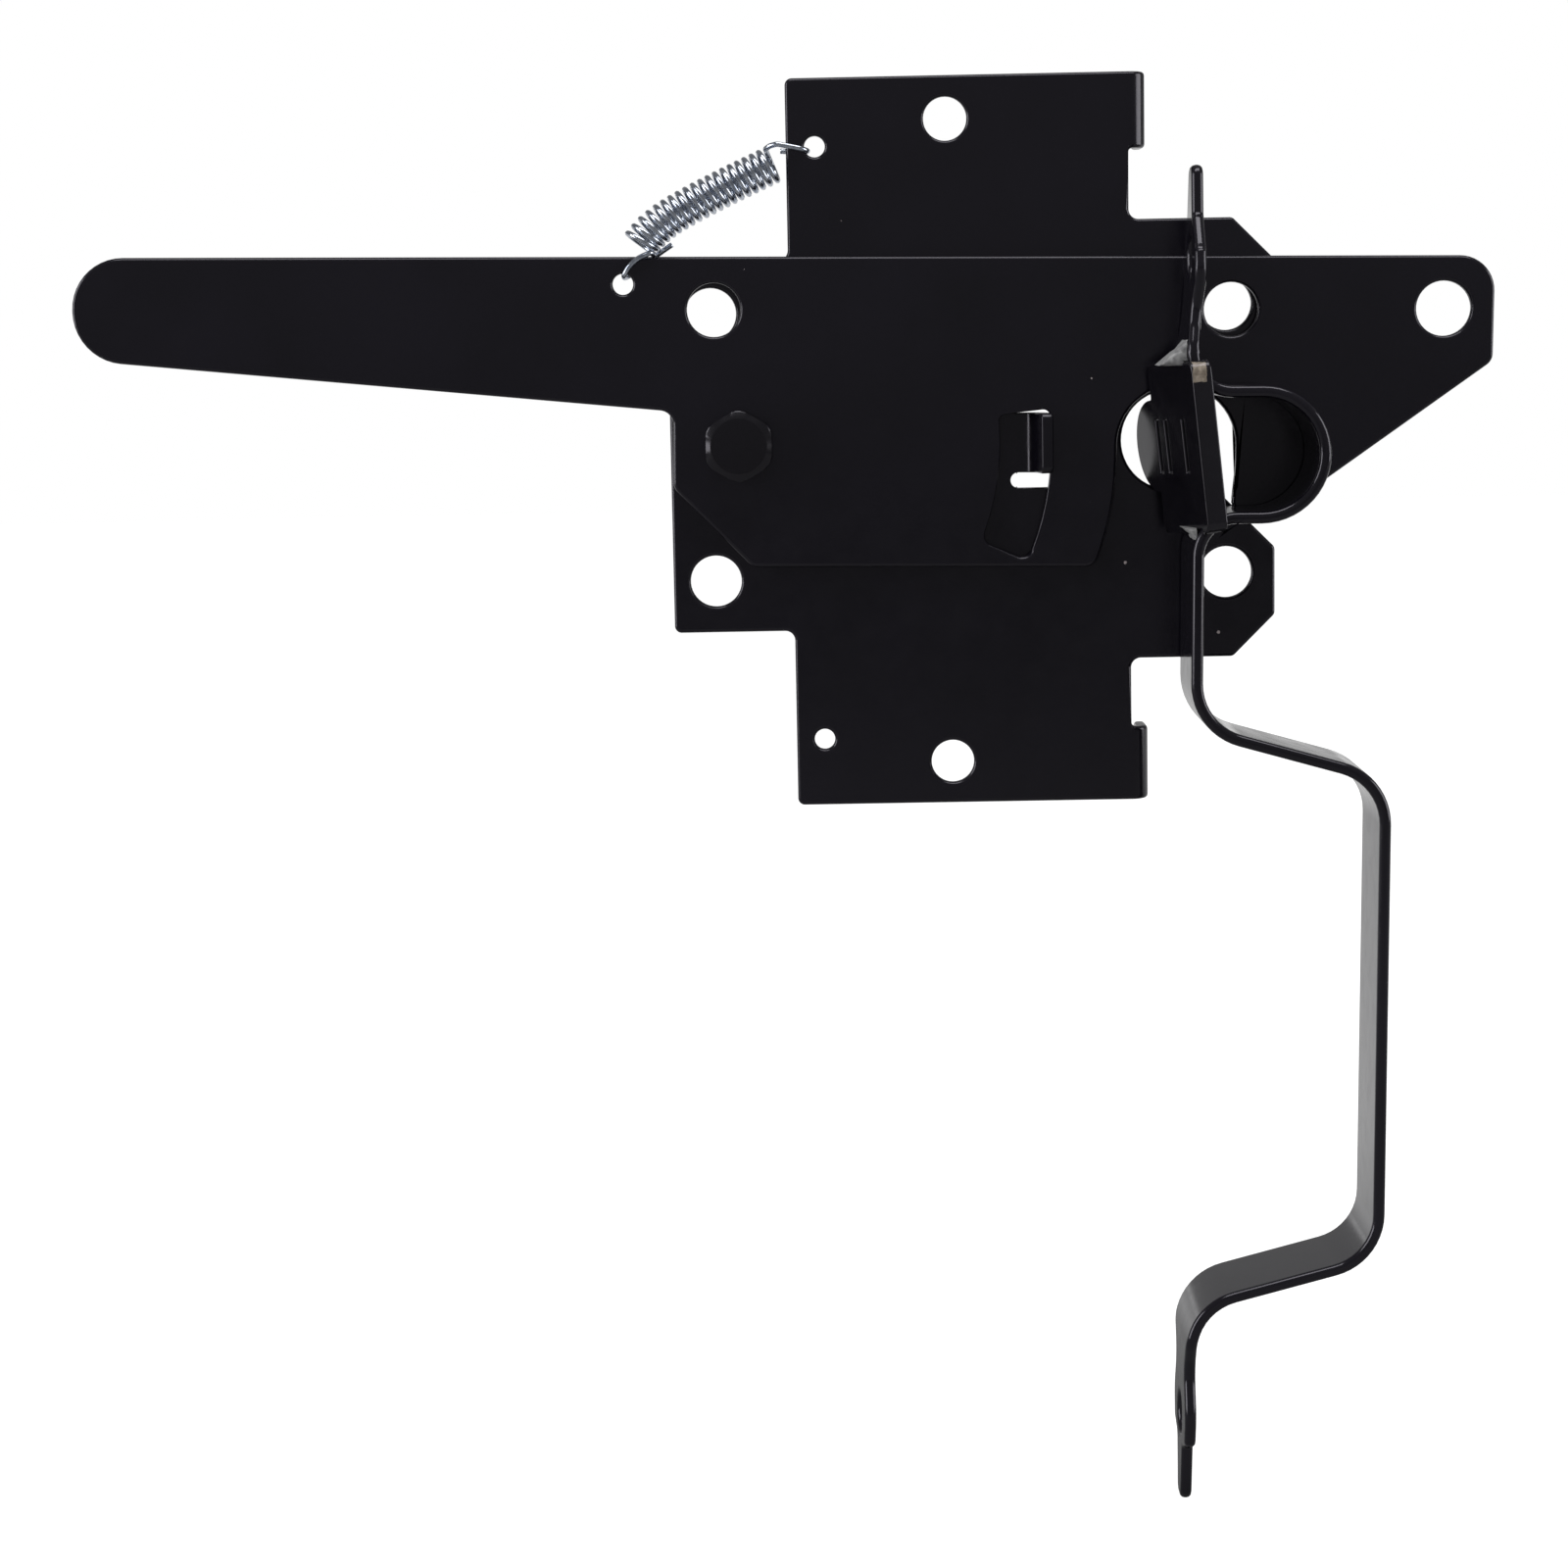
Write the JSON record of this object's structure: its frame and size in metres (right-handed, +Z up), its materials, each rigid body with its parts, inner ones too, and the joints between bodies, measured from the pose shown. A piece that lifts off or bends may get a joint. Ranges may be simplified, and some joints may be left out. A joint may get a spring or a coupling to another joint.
{
  "type": "gate latch",
  "caption": "Flat steel gate latch: a spring-loaded lever on a folded back plate, with a bent pull handle whose welded tongue rests in the lever's notch.",
  "frame": {"origin": "centre of the rectangle of main screw holes, on the back plate's rear face", "axes": "+X towards the hook end of the lever, +Y into the gate post, +Z up"},
  "size_m": [0.303, 0.0417, 0.3074],
  "materials": {
    "black_coat": "satin powder coat",
    "black_stud": "satin powder coat",
    "zinc_wire": "bright zinc",
    "bare_weld": "thinly coated weld metal"
  },
  "bodies": {
    "mounting": {"back_plate": "black_coat", "pivot_stud": "black_stud", "pivot_washer": "black_stud", "return_spring": "zinc_wire", "pull_handle": "black_coat", "strike_tongue": "black_coat", "upper_weld": "bare_weld", "lower_weld": "bare_weld"},
    "lever": {"latch_lever": "black_coat"}
  },
  "joints": [
    {"name": "lever_pivot", "type": "hinge", "parent": "mounting", "child": "lever", "pos_m": [-0.0493, -0.00445, 0.0006], "axis": [0, -1, 0], "range_deg": [0, 15], "deforming": ["return_spring"]}
  ]
}
